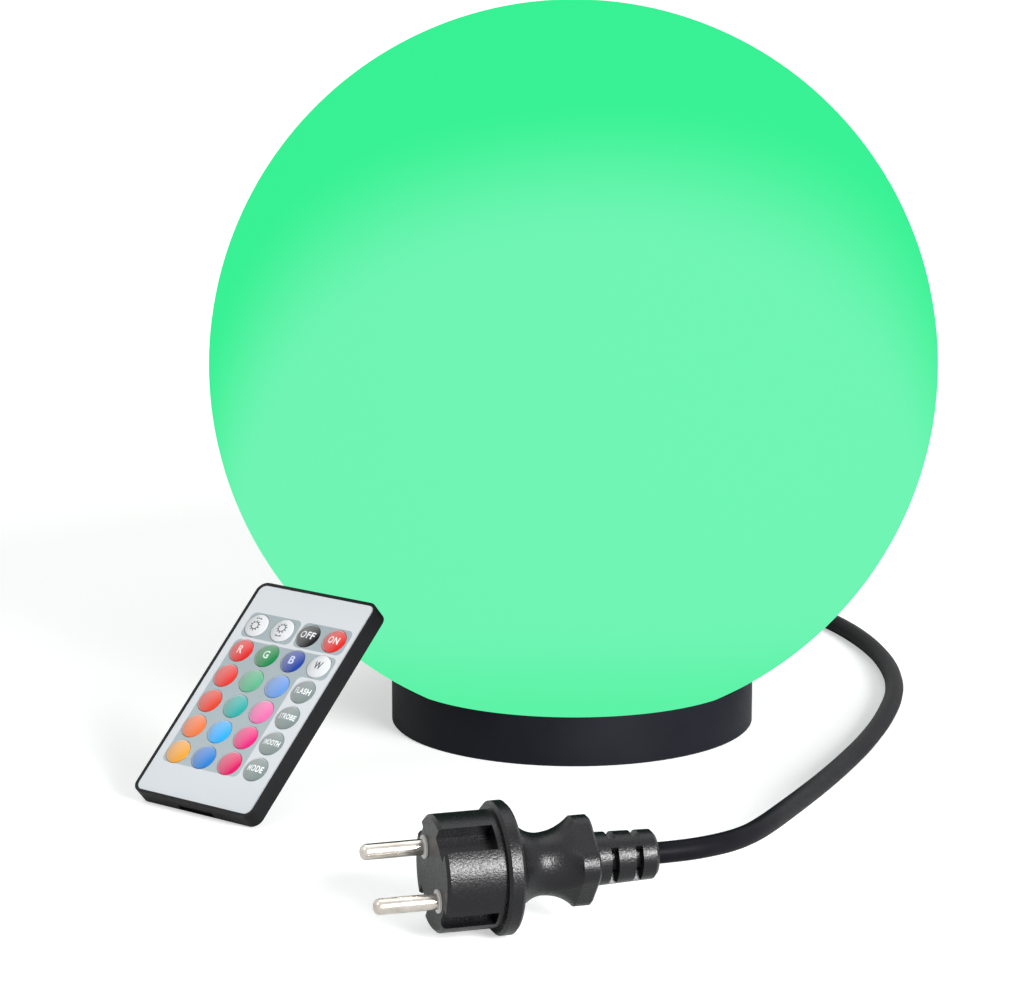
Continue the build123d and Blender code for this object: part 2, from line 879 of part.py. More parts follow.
def tray_top():
    """Upper side of the tray, level with the coin cell."""
    return tray_base + tray_floor + coin_thickness


def coin_middle():
    """Place of the coin cell's axis along the remote."""
    return tray_length - coin_radius - 2


def make_battery_tray():
    """The pull-out tray with its round pocket and a finger notch in its end."""
    tray = Pos(0, tray_length / 2, (tray_base + tray_top()) / 2) * Box(
        tray_width, tray_length, tray_top() - tray_base
    )
    pocket = Pos(0, coin_middle(), 0) * disc(coin_radius + slide_gap, tray_base + tray_floor, tray_top())
    notch_height = 0.8 * (tray_top() - tray_base)
    notch = Pos(0, 0, tray_base) * Box(tray_notch_width, 2 * tray_notch_depth, 2 * notch_height)
    return tray - pocket - notch


def make_coin_cell():
    """The coin cell, with its rounded rim."""
    base = tray_base + tray_floor
    cell = disc(coin_radius, base, base + coin_thickness)
    cell = fillet(cell.edges().group_by(Axis.Z)[0], 0.5)
    return Pos(0, coin_middle(), 0) * cell


def make_battery_contact():
    """The leaf that bears on the cell at the inner end of the bay."""
    low = tray_length + rest_gap
    height = board_seat - remote_back_wall - 2 * slide_gap
    return Pos(0, low + 0.45, remote_back_wall + slide_gap + height / 2) * Box(8, 0.9, height)


# ---------------------------------------------------------------- write every piece
def save(name, *solids):
    """Writes one node, made of one or more separate solids."""
    shape = solids[0] if len(solids) == 1 else Compound(children=list(solids))
    export_step(shape, os.path.join("parts", name + ".step"))


def main():
    os.makedirs("parts", exist_ok=True)
    save("globe", make_globe())
    save("base_housing", make_base_housing())
    save("base_cover", make_base_cover())
    save("cover_screws", *make_cover_screws())
    save("rim_seal", make_rim_seal())
    save("holder_column", make_column())
    save("column_screws", *make_column_screws())
    save("holder_body", make_holder_body())
    save("holder_sleeve", make_holder_sleeve())
    save("holder_contact", make_holder_contact())
    save("bulb_cap", make_bulb_cap())
    save("bulb_tip", make_bulb_tip())
    save("bulb_housing", make_bulb_housing())
    save("bulb_led_board", make_led_board())
    save("bulb_led_chips", *make_led_chips())
    save("bulb_dome", make_bulb_dome())
    save("cord_bush", make_cord_bush())
    save("inner_lead", make_inner_lead())
    save("cord_lead", cord_tube("cord_lead", lead_route()))
    save("cord_coil", make_cord_coil())
    save("cord_run", cord_tube("cord_run", run_route()))
    plug = plug_plane().location
    save("plug_body", plug * make_plug_body())
    save("pin_collars", *[plug * collar for collar in make_pin_collars()])
    save("plug_pin_left", plug * make_pin(pin_places()[0]))
    save("plug_pin_right", plug * make_pin(pin_places()[1]))
    remote = remote_plane().location
    save("remote_case", remote * make_remote_case())
    save("remote_face_plate", remote * make_face_plate())
    save("remote_board", remote * make_remote_board())
    save("remote_contact_mat", remote * make_contact_mat())
    save("remote_emitter", remote * make_emitter())
    save("battery_tray", remote * make_battery_tray())
    save("coin_cell", remote * make_coin_cell())
    save("battery_contact", remote * make_battery_contact())
    key = make_key()
    for name, x, y in key_places():
        save(name, remote * Pos(x, y, 0) * key)


main()
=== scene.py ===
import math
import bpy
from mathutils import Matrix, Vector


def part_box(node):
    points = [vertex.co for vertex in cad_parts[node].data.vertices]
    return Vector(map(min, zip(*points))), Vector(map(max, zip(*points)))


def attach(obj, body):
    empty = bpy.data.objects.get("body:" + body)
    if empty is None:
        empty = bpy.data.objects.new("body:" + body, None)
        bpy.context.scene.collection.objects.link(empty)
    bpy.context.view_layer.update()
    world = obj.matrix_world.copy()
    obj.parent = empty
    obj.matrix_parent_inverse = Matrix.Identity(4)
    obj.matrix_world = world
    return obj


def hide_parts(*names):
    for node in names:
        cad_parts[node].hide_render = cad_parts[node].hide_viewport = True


bl_info = {
    "name": "Garden Globe Light",
    "version": (1, 0, 0),
    "blender": (4, 5, 0),
    "location": "3D View > Sidebar > Globe Light",
    "description": "Dresses a garden globe light with its mains cord, plug and remote",
    "category": "Object",
}

import bmesh
import bpy
from mathutils import Matrix, Vector

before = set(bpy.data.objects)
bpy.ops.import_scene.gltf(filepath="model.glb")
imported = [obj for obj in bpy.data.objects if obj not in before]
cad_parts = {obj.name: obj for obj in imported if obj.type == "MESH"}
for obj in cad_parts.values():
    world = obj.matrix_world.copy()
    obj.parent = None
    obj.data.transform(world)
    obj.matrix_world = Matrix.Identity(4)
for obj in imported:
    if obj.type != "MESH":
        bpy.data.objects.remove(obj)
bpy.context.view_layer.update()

MM = 0.001

# The globe: its radius and the height of its middle, in mm, from the frame.
GLOBE_RADIUS = 125.0
GLOBE_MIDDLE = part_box("globe")[1][2] / MM - GLOBE_RADIUS

# How steeply the remote leans on the globe and its heading in to the globe's middle, in degrees, then how far
# it is set along its width, its gap to the globe, its length and its face's height over its back, in mm.
REMOTE_LEAN = 42.0
REMOTE_TURN = 52.0
REMOTE_SHIFT = -20.0
REMOTE_GAP = 0.3
REMOTE_LENGTH = 86.0
REMOTE_FACE = 6.35

# Heights of a key's flange, stem and dome above the remote's back, and the radii of its rim and of its dome's
# ball, in mm.
KEY_FLANGE = (5.15, 5.55)
KEY_STEM_TOP = 6.5
KEY_TOP = 7.25
KEY_RADIUS = 4.4
KEY_BALL = (KEY_RADIUS**2 + (KEY_TOP - KEY_STEM_TOP) ** 2) / (2 * (KEY_TOP - KEY_STEM_TOP))

# Spacing of the keys' columns and rows, and how far the first row lies below the remote's top, in mm.
KEY_COLUMN_PITCH = 11.35
KEY_ROW_PITCH = 10.37
KEY_FIRST_ROW = 16.8

# The print on a key: its height over the dome, the length past which an edge of it is cut, and how far the
# words are set across, in mm.
PRINT_HEIGHT = 0.03
PRINT_EDGE = 0.55
WORD_SHIFT = 0.25

# Where the cord leaves the base, in degrees round it, how far behind the globe's middle its coil lies, in mm,
# and the coil's turns.
EXIT_TURN = 112.0
COIL_MIDDLE = 146.0
COIL_TURNS = 6

# The keys as they lie on the face, from its top row down, and their colours.
KEY_ROWS = [
    ["key_brighter", "key_dimmer", "key_off", "key_on"],
    ["key_red", "key_green", "key_blue", "key_white"],
    ["key_scarlet", "key_mint", "key_sky", "key_flash"],
    ["key_vermilion", "key_teal", "key_pink", "key_strobe"],
    ["key_orange", "key_azure", "key_rose", "key_smooth"],
    ["key_amber", "key_cobalt", "key_magenta", "key_mode"],
]
KEY_COLOURS = {
    "key_brighter": "#E6E8EB",
    "key_dimmer": "#E6E8EB",
    "key_off": "#1C1E20",
    "key_on": "#E02A24",
    "key_red": "#DE2B28",
    "key_green": "#1B8A4E",
    "key_blue": "#25459F",
    "key_white": "#E6E8EB",
    "key_scarlet": "#E43A32",
    "key_mint": "#5FB58C",
    "key_sky": "#6A9BE0",
    "key_flash": "#82908F",
    "key_vermilion": "#E2452F",
    "key_teal": "#2BAFA8",
    "key_pink": "#F070B0",
    "key_strobe": "#82908F",
    "key_orange": "#EE7A42",
    "key_azure": "#2CB0FA",
    "key_rose": "#EA2580",
    "key_smooth": "#82908F",
    "key_amber": "#EDA53C",
    "key_cobalt": "#2A80D2",
    "key_magenta": "#DE1465",
    "key_mode": "#82908F",
}
# Each legend: the key, its word, the word's height and width in mm and its colour.
LEGENDS = [
    ("key_off", "OFF", 2.8, 5.8, "#E4E6E6"),
    ("key_on", "ON", 2.8, 4.3, "#F6DEDC"),
    ("key_red", "R", 3.1, 2.1, "#F3CFCC"),
    ("key_green", "G", 3.1, 2.3, "#CFEBDB"),
    ("key_blue", "B", 3.1, 2.1, "#C9D4F0"),
    ("key_white", "W", 3.0, 3.0, "#4B5357"),
    ("key_flash", "FLASH", 2.3, 6.3, "#F0F4F5"),
    ("key_strobe", "STROBE", 2.1, 6.8, "#F0F4F5"),
    ("key_smooth", "SMOOTH", 2.1, 6.8, "#F0F4F5"),
    ("key_mode", "MODE", 2.4, 6.2, "#F0F4F5"),
]


# ---------------------------------------------------------------- small helpers
def linear(code):
    """Turns an sRGB hex colour into Blender's linear colour."""
    parts = [int(code[place:place + 2], 16) / 255 for place in (1, 3, 5)]
    return tuple(c / 12.92 if c <= 0.04045 else ((c + 0.055) / 1.055) ** 2.4 for c in parts) + (1.0,)


def add_node(tree, kind, values=None, links=None, **settings):
    """Adds one node with its settings, its input values and the links into it."""
    node = tree.nodes.new(kind)
    for name, value in settings.items():
        setattr(node, name, value)
    for socket, value in (values or {}).items():
        node.inputs[socket].default_value = value
    for socket, source in (links or {}).items():
        tree.links.new(source, node.inputs[socket])
    return node


def new_material(name):
    """A new node material, its tree, and the shader that is linked to its output."""
    material = bpy.data.materials.new(name)
    material.use_nodes = True
    tree = material.node_tree
    tree.nodes.clear()
    shader = add_node(tree, "ShaderNodeBsdfPrincipled")
    add_node(tree, "ShaderNodeOutputMaterial", links={"Surface": shader.outputs[0]})
    return material, tree, shader


def surface(name, low, high, rough=(0.4, 0.5), specular=0.5, metallic=0.0, drift_mm=30.0, grain_mm=0.6,
            grain_depth_mm=0.02):
    """A finish whose colour drifts between two shades, with a fine grain in its roughness and relief."""
    material, tree, shader = new_material(name)
    shader.inputs["Specular IOR Level"].default_value = specular
    shader.inputs["Metallic"].default_value = metallic
    place = add_node(tree, "ShaderNodeTexCoord").outputs["Object"]
    drift = add_node(tree, "ShaderNodeTexNoise", {"Scale": 1000 / drift_mm, "Detail": 3.0}, {"Vector": place})
    grain = add_node(tree, "ShaderNodeTexNoise", {"Scale": 1000 / grain_mm, "Detail": 2.0}, {"Vector": place})
    share = add_node(
        tree, "ShaderNodeMapRange", {"From Min": 0.35, "From Max": 0.65}, {"Value": drift.outputs["Fac"]}
    )
    colour = add_node(
        tree, "ShaderNodeMix", {6: linear(low), 7: linear(high)}, {0: share.outputs["Result"]},
        data_type="RGBA",
    )
    tree.links.new(colour.outputs[2], shader.inputs["Base Color"])
    rough_map = add_node(
        tree, "ShaderNodeMapRange",
        {"From Min": 0.3, "From Max": 0.7, "To Min": rough[0], "To Max": rough[1]},
        {"Value": grain.outputs["Fac"]},
    )
    tree.links.new(rough_map.outputs["Result"], shader.inputs["Roughness"])
    relief = add_node(
        tree, "ShaderNodeBump", {"Strength": 1.0, "Distance": grain_depth_mm * MM},
        {"Height": grain.outputs["Fac"]},
    )
    tree.links.new(relief.outputs["Normal"], shader.inputs["Normal"])
    return material


def dress(node, material):
    """Gives a node of the frame this material in every slot."""
    mesh = bpy.data.objects[node].data
    if not mesh.materials:
        mesh.materials.append(material)
    for slot in range(len(mesh.materials)):
        mesh.materials[slot] = material


def finish_piece(bm, name, material, body, smooth=True, outwards=True):
    """Merges doubles, turns the faces outwards and makes the object, which rides on this body."""
    bmesh.ops.remove_doubles(bm, verts=bm.verts, dist=0.002 * MM)
    if outwards:
        bmesh.ops.recalc_face_normals(bm, faces=bm.faces)
    mesh = bpy.data.meshes.new(name)
    bm.to_mesh(mesh)
    bm.free()
    mesh.materials.append(material)
    for polygon in mesh.polygons:
        polygon.use_smooth = smooth
    piece = bpy.data.objects.new(name, mesh)
    bpy.context.scene.collection.objects.link(piece)
    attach(piece, body)
    return piece


def keep_edges(piece, degrees):
    """Shades sharp any edge that turns by more than this."""
    piece.data.set_sharp_from_angle(angle=math.radians(degrees))


def draw_line(bm, start, *places):
    """Extrudes a corner through these places, as the outline of a section, and gives the last one."""
    corner = start
    for place in places:
        made = bmesh.ops.extrude_vert_indiv(bm, verts=[corner])
        corner = made["verts"][0]
        corner.co = Vector(place)
    return corner


def draw_arc(bm, start, centre, angle, steps):
    """Spins a corner round a centre in the section's plane, by degrees, and gives the last one."""
    made = bmesh.ops.spin(
        bm, geom=[start], cent=centre, axis=(0, 1, 0), angle=math.radians(angle), steps=steps,
        use_duplicate=False,
    )
    return [item for item in made["geom_last"] if isinstance(item, bmesh.types.BMVert)][0]


def spin_section(bm, steps):
    """Turns the drawn section right round the Z axis."""
    bmesh.ops.spin(
        bm, geom=bm.verts[:] + bm.edges[:], cent=(0, 0, 0), axis=(0, 0, 1), angle=math.tau, steps=steps,
        use_merge=True, use_duplicate=False,
    )


def remote_matrix():
    """From the remote's own millimetres (across, up its length, out of its face) to the room."""
    lean = math.radians(REMOTE_LEAN)
    turn = math.radians(REMOTE_TURN)
    across = Vector((math.sin(turn), -math.cos(turn), 0))
    inwards = Vector((math.cos(turn), math.sin(turn), 0))
    normal = Vector((0, 0, 1)) * math.cos(lean) - inwards * math.sin(lean)
    upwards = normal.cross(across)
    top_height = REMOTE_LENGTH * math.sin(lean)
    reach = math.sqrt((GLOBE_RADIUS + REMOTE_GAP) ** 2 - (GLOBE_MIDDLE - top_height) ** 2)
    foot = inwards * -(reach + REMOTE_LENGTH * math.cos(lean)) + across * REMOTE_SHIFT
    turned = Matrix((across, upwards, normal)).transposed().to_4x4()
    return Matrix.Scale(MM, 4) @ Matrix.Translation(foot) @ turned


def key_places():
    """Each key's name and its middle on the face, in the remote's millimetres."""
    for row, names in enumerate(KEY_ROWS):
        for column, name in enumerate(names):
            along = REMOTE_LENGTH - KEY_FIRST_ROW - row * KEY_ROW_PITCH
            yield name, (column - 1.5) * KEY_COLUMN_PITCH, along


# ---------------------------------------------------------------- settings
class GlobeLightSettings(bpy.types.PropertyGroup):
    glow_pale: bpy.props.FloatVectorProperty(
        name="Pale Glow", description="Colour of the brighter, lower part of the lit globe", subtype="COLOR",
        size=4, min=0.0, max=1.0, default=linear("#6FF4B3"),
    )
    glow_deep: bpy.props.FloatVectorProperty(
        name="Deep Glow", description="Colour of the upper part of the lit globe", subtype="COLOR", size=4,
        min=0.0, max=1.0, default=linear("#38F194"),
    )
    glow_strength: bpy.props.FloatProperty(
        name="Glow Strength", description="How bright the lit globe is, where 1 shows its colours as given",
        default=1.0, min=0.0, max=5.0,
    )


class CordSettings(bpy.types.PropertyGroup):
    diameter: bpy.props.FloatProperty(
        name="Cord Diameter", description="Outside diameter of the round mains cord", default=6.5 * MM,
        min=0.004, max=0.012, unit="LENGTH",
    )
    length: bpy.props.FloatProperty(
        name="Cord Length", description="Length from the base's bush to the plug", default=2.0, min=0.5,
        max=10.0, unit="LENGTH",
    )
    coil_radius: bpy.props.FloatProperty(
        name="Coil Radius", description="Radius of the spare coil at the middle of its turns",
        default=36.0 * MM, min=0.02, max=0.1, unit="LENGTH",
    )


class StudioSettings(bpy.types.PropertyGroup):
    lens: bpy.props.FloatProperty(
        name="Lens", description="Focal length of the camera, in millimetres", default=142.91, min=20.0,
        max=300.0, subtype="DISTANCE_CAMERA",
    )
    lamp_level: bpy.props.FloatProperty(
        name="Lamp Level", description="Multiplies the power of every studio lamp", default=1.0, min=0.0,
        max=10.0,
    )


# ---------------------------------------------------------------- camera and stage
class StageOperator(bpy.types.Operator):
    """Set up the camera, the pale floor, the soft lamps and the surroundings"""

    bl_idname = "globe_light.stage"
    bl_label = "Stage"

    def execute(self, context):
        settings = context.scene.studio_settings
        yaw = math.radians(-0.873)
        pitch = math.radians(12.236)
        aim = Vector((math.sin(yaw) * math.cos(pitch), math.cos(yaw) * math.cos(pitch), -math.sin(pitch)))
        data = bpy.data.cameras.new("camera")
        data.sensor_width = 36.0
        data.sensor_fit = "HORIZONTAL"
        data.lens = settings.lens
        data.clip_end = 20.0
        camera = bpy.data.objects.new("camera", data)
        camera.location = (0.0, -1.3773, 0.3768)
        camera.rotation_euler = aim.to_track_quat("-Z", "Y").to_euler()
        context.scene.collection.objects.link(camera)
        context.scene.camera = camera
        self.make_floor(context)
        self.make_lamp(context, "lamp_front", (0.75, -1.2, 0.5), 0.5, 33.0)
        self.make_lamp(context, "lamp_left", (-1.3, -1.0, 2.0), 1.2, 8.0)
        self.make_lamp(context, "lamp_top", (0.1, 0.5, 2.3), 1.6, 8.0)
        self.make_world(context)
        context.scene.view_settings.view_transform = "Standard"
        return {"FINISHED"}

    def make_floor(self, context):
        """A wide flat floor of white paper, which the camera sees as the white background."""
        bm = bmesh.new()
        bmesh.ops.create_grid(bm, x_segments=1, y_segments=1, size=6.0)
        mesh = bpy.data.meshes.new("floor")
        bm.to_mesh(mesh)
        bm.free()
        # Backdrop paper, matt: it keeps the soft shadows and is otherwise clear white.
        material, tree, shader = new_material("backdrop_paper")
        shader.inputs["Specular IOR Level"].default_value = 0.0
        shader.inputs["Roughness"].default_value = 1.0
        shader.inputs["Base Color"].default_value = linear("#E8E8E8")
        rays = add_node(tree, "ShaderNodeLightPath")
        place = add_node(tree, "ShaderNodeTexCoord").outputs["Object"]
        distance = add_node(tree, "ShaderNodeVectorMath", links={0: place}, operation="LENGTH")
        glow = add_node(
            tree, "ShaderNodeMapRange", {"From Min": 0.35, "From Max": 0.9, "To Min": 0.5, "To Max": 1.0},
            {"Value": distance.outputs["Value"]},
        )
        level = add_node(
            tree, "ShaderNodeMath", links={0: rays.outputs["Is Camera Ray"], 1: glow.outputs["Result"]},
            operation="MULTIPLY",
        )
        tree.links.new(level.outputs[0], shader.inputs["Emission Strength"])
        shader.inputs["Emission Color"].default_value = (1.0, 1.0, 1.0, 1.0)
        mesh.materials.append(material)
        floor = bpy.data.objects.new("floor", mesh)
        context.scene.collection.objects.link(floor)

    def make_lamp(self, context, name, place, size, power):
        """One square soft lamp aimed at the light."""
        data = bpy.data.lights.new(name, "AREA")
        data.size = size
        data.energy = power * context.scene.studio_settings.lamp_level
        lamp = bpy.data.objects.new(name, data)
        lamp.location = place
        lamp.rotation_euler = (Vector((0, 0, 0.1)) - Vector(place)).to_track_quat("-Z", "Y").to_euler()
        context.scene.collection.objects.link(lamp)

    def make_world(self, context):
        """White where it is seen, in a reflection or through glass too, and grey as a light source."""
        world = bpy.data.worlds.new("surroundings")
        world.use_nodes = True
        context.scene.world = world
        tree = world.node_tree
        tree.nodes.clear()
        rays = add_node(tree, "ShaderNodeLightPath")
        seen = add_node(
            tree, "ShaderNodeMath",
            links={0: rays.outputs["Is Camera Ray"], 1: rays.outputs["Is Glossy Ray"]}, operation="MAXIMUM",
        )
        seen = add_node(
            tree, "ShaderNodeMath",
            links={0: seen.outputs[0], 1: rays.outputs["Is Transmission Ray"]}, operation="MAXIMUM",
        )
        light_level = 0.36
        strength = add_node(
            tree, "ShaderNodeMapRange", {"To Min": light_level, "To Max": 1.0}, {"Value": seen.outputs[0]}
        )
        background = add_node(
            tree, "ShaderNodeBackground", {"Color": (1.0, 1.0, 1.0, 1.0)},
            {"Strength": strength.outputs["Result"]},
        )
        add_node(tree, "ShaderNodeOutputWorld", links={"Surface": background.outputs[0]})


# ---------------------------------------------------------------- cord
def sheath():
    """Soft black cord sheath, extruded: an even near-black with a dull sheen and a faint grain."""
    return surface(
        "cord_sheath_extruded", "#0C0C10", "#131318", rough=(0.42, 0.5), specular=0.05, drift_mm=14.0,
        grain_mm=0.8, grain_depth_mm=0.01,
    )


class CordOperator(bpy.types.Operator):
    """Lay the mains cord from the base's bush through its spare coil to the plug"""

    bl_idname = "globe_light.cord"
    bl_label = "Mains Cord"

    def execute(self, context):
        settings = context.scene.cord_settings
        floor = settings.diameter / MM / 2 + 0.05
        outer = settings.coil_radius / MM + settings.diameter / MM
        exit_turn = math.radians(EXIT_TURN)
        exit_place = (85 * math.cos(exit_turn), 85 * math.sin(exit_turn), 6.6)
        lead = [
            exit_place,
            (101 * math.cos(exit_turn), 101 * math.sin(exit_turn), 5.7),
            (-outer - 0.6, 114.0, 4.0),
            (-outer - 0.9, 130.0, floor),
        ]
        run = [
            (-43.2, 163.8, 8.9), (-35.8, 181.5, 7.2), (-20.1, 194.0, 5.4), (1.0, 200.1, 4.0),
            (24.9, 198.0, floor), (48.0, 188.4, floor), (69.3, 171.8, floor), (86.9, 150.0, floor),
            (101.0, 123.5, floor), (110.9, 92.0, floor), (115.8, 59.3, floor), (115.6, 25.3, floor),
            (108.7, -11.2, floor), (99.9, -45.2, 4.1), (90.6, -77.5, 6.0), (81.7, -109.2, 8.9),
            (73.5, -138.6, 12.2), (66.4, -164.1, 15.3), (60.1, -184.9, 17.5), (54.4, -199.4, 18.6),
            (48.4, -209.4, 19.3), (41.2, -216.4, 19.7), (33.1, -221.3, 19.8), (24.053, -224.349, 19.8),
        ]
        # Out of the bush and down to the coil, round it, and along the floor and up to the raised plug.
        route = lead + self.coil_points(settings, floor) + run
        curve = bpy.data.curves.new("mains_cord", "CURVE")
        curve.dimensions = "3D"
        spline = curve.splines.new("NURBS")
        spline.points.add(len(route) - 1)
        for point, place in zip(spline.points, route):
            point.co = (place[0] * MM, place[1] * MM, place[2] * MM, 1.0)
        spline.order_u = 3
        spline.use_endpoint_u = True
        spline.resolution_u = 8
        curve.bevel_depth = settings.diameter / 2
        curve.bevel_resolution = 5
        curve.use_fill_caps = True
        curve.materials.append(sheath())
        piece = bpy.data.objects.new("mains_cord", curve)
        context.scene.collection.objects.link(piece)
        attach(piece, "base")
        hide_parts("cord_lead", "cord_coil", "cord_run")
        tie = self.make_tie(settings)
        return {"FINISHED"}

    def coil_points(self, settings, floor):
        """Six tied turns, clockwise from above: three wide on the floor and three on top of them."""
        pitch = settings.diameter / MM
        middle = settings.coil_radius / MM
        radii = [middle + pitch, middle, middle - pitch, middle - pitch, middle, middle + pitch]
        heights = [floor] * 3 + [floor + pitch] * 3
        per_turn = 20
        # The curve runs a little inside its points, so they stand out by this factor.
        outset = 1.008
        points = []
        for turn in range(COIL_TURNS):
            for step in range(per_turn):
                # Over its last quarter each turn passes smoothly to the next one's radius and height.
                share = step / per_turn
                blend = max(0.0, (share - 0.75) / 0.25)
                blend = blend * blend * (3 - 2 * blend)
                after = min(turn + 1, COIL_TURNS - 1)
                radius = (radii[turn] * (1 - blend) + radii[after] * blend) * outset
                height = heights[turn] * (1 - blend) + heights[after] * blend
                angle = math.pi - math.tau * share
                points.append((radius * math.cos(angle), COIL_MIDDLE + radius * math.sin(angle), height))
        points.append((-radii[-1], COIL_MIDDLE, heights[-1]))
        return points

    def make_tie(self, settings):
        """A flat black strap round the coil's turns."""
        strap_width = 4.0
        strap_thickness = 0.5
        strap_turn = -60.0
        middle_height = 6.62
        lowest = 0.55
        # Half sizes inside the strap: three turns wide and two high, with a little to spare.
        wide = settings.diameter / MM * 1.5 + 0.45
        high = settings.diameter / MM + 0.1
        bm = bmesh.new()
        made = bmesh.ops.create_circle(bm, segments=48, radius=1.0)
        for corner in made["verts"]:
            across, up = corner.co.x, corner.co.y
            squareness = (abs(across) ** 4 + abs(up) ** 4) ** 0.25
            height = max(up / squareness * high + middle_height, lowest)
            corner.co = Vector((across / squareness * wide, 0.0, height))
        rim = bm.edges[:]
        made = bmesh.ops.extrude_edge_only(bm, edges=rim)
        shifted = [item for item in made["geom"] if isinstance(item, bmesh.types.BMVert)]
        bmesh.ops.translate(bm, verts=shifted, vec=(0.0, strap_width, 0.0))
        bmesh.ops.recalc_face_normals(bm, faces=bm.faces)
        bmesh.ops.solidify(bm, geom=bm.faces[:], thickness=-strap_thickness)
        middle = Matrix.Translation((0, COIL_MIDDLE, 0)) @ Matrix.Rotation(math.radians(strap_turn), 4, "Z")
        outwards = Matrix.Translation((settings.coil_radius / MM, -strap_width / 2, 0))
        place = Matrix.Scale(MM, 4) @ middle @ outwards
        bmesh.ops.transform(bm, matrix=place, verts=bm.verts)
        # Polypropylene strap, moulded: plain black with a dull shine.
        strap = surface("strap_polypropylene_moulded", "#15151A", "#1C1C20", rough=(0.4, 0.5), drift_mm=5.0)
        return finish_piece(bm, "cord_tie", strap, "base", smooth=False)


# ---------------------------------------------------------------- globe
class GlobeOperator(bpy.types.Operator):
    """Model the lit globe and give it its glow"""

    bl_idname = "globe_light.globe"
    bl_label = "Globe"

    def execute(self, context):
        centre = (0.0, 0.0, GLOBE_MIDDLE * MM)
        radius = GLOBE_RADIUS * MM
        wall = 2.5 * MM
        inside = radius - wall
        mouth = 51.0 * MM
        rim = 55.2 * MM
        rim_height = centre[2] - math.sqrt(radius**2 - rim**2)
        bm = bmesh.new()
        start = bm.verts.new((0.0, 0.0, centre[2] + inside))
        mouth_turn = 180 - math.degrees(math.asin(mouth / inside))
        rim_turn = 180 - math.degrees(math.asin(rim / radius))
        corner = draw_arc(bm, start, centre, mouth_turn, 72)
        corner = draw_line(bm, corner, (mouth, 0.0, rim_height), (rim, 0.0, rim_height))
        draw_arc(bm, corner, centre, -rim_turn, 90)
        spin_section(bm, 160)
        piece = finish_piece(bm, "globe_shell", self.glow(context), "globe")
        keep_edges(piece, 40)
        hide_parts("globe")
        return {"FINISHED"}

    def glow(self, context):
        """White polyethylene, blow-moulded and lit green from inside: flat, even light with no highlight."""
        settings = context.scene.globe_light_settings
        material, tree, shader = new_material("polyethylene_blow_moulded_lit")
        place = add_node(tree, "ShaderNodeTexCoord").outputs["Object"]
        away = add_node(
            tree, "ShaderNodeVectorMath", {1: (0.0, 0.0, GLOBE_MIDDLE * MM)}, {0: place},
            operation="SUBTRACT",
        )
        away = add_node(
            tree, "ShaderNodeVectorMath", {"Scale": 1 / (GLOBE_RADIUS * MM)}, {0: away.outputs[0]},
            operation="SCALE",
        )
        # The pale light is a soft dome: its edge is highest in the middle and bends down at both sides. Its
        # strength comes from 1.372 - 1.644 h + 0.967 h s s + 0.085 s - 0.994 s s, where the height h, along a
        # line tipped 10 degrees back, and the side s are shares of the globe's radius.
        side = add_node(tree, "ShaderNodeSeparateXYZ", links={0: away.outputs[0]}).outputs["X"]
        square = add_node(tree, "ShaderNodeMath", links={0: side, 1: side}, operation="MULTIPLY")
        height = add_node(
            tree, "ShaderNodeVectorMath", {1: (0.0, 0.179, 0.984)}, {0: away.outputs[0]},
            operation="DOT_PRODUCT",
        ).outputs["Value"]
        bend = add_node(
            tree, "ShaderNodeMath", {1: 0.967, 2: -1.644}, {0: square.outputs[0]}, operation="MULTIPLY_ADD"
        )
        rise = add_node(
            tree, "ShaderNodeMath", {2: 1.372}, {0: height, 1: bend.outputs[0]}, operation="MULTIPLY_ADD"
        )
        lean = add_node(
            tree, "ShaderNodeMath", {1: 0.085}, {0: side, 2: rise.outputs[0]}, operation="MULTIPLY_ADD"
        )
        pale = add_node(
            tree, "ShaderNodeMath", {1: -0.994}, {0: square.outputs[0], 2: lean.outputs[0]},
            operation="MULTIPLY_ADD",
        )
        pale = add_node(
            tree, "ShaderNodeMapRange", {"From Min": 0.25, "From Max": 0.87}, {"Value": pale.outputs[0]},
            interpolation_type="SMOOTHSTEP",
        )
        # It falls off again close to the base.
        foot = add_node(
            tree, "ShaderNodeMapRange", {"From Min": -0.66, "From Max": -0.92, "To Min": 0.0, "To Max": 0.42},
            {"Value": height}, interpolation_type="SMOOTHSTEP",
        )
        share = add_node(
            tree, "ShaderNodeMath", links={0: pale.outputs["Result"], 1: foot.outputs["Result"]},
            operation="SUBTRACT", use_clamp=True,
        )
        colour = add_node(
            tree, "ShaderNodeMix", {6: tuple(settings.glow_deep), 7: tuple(settings.glow_pale)},
            {0: share.outputs[0]}, data_type="RGBA",
        )
        rays = add_node(tree, "ShaderNodeLightPath")
        spill = add_node(
            tree, "ShaderNodeMath",
            links={0: rays.outputs["Is Diffuse Ray"], 1: rays.outputs["Is Glossy Ray"]}, operation="MAXIMUM",
        )
        # The lit globe looks bright, and tints what stands round it only a little, as it does by day.
        colour = add_node(
            tree, "ShaderNodeMix", {7: linear("#0D3320")}, {0: spill.outputs[0], 6: colour.outputs[2]},
            data_type="RGBA",
        )
        tree.links.new(colour.outputs[2], shader.inputs["Emission Color"])
        shader.inputs["Emission Strength"].default_value = settings.glow_strength
        shader.inputs["Base Color"].default_value = linear("#04120A")
        shader.inputs["Roughness"].default_value = 0.7
        shader.inputs["Specular IOR Level"].default_value = 0.0
        return material


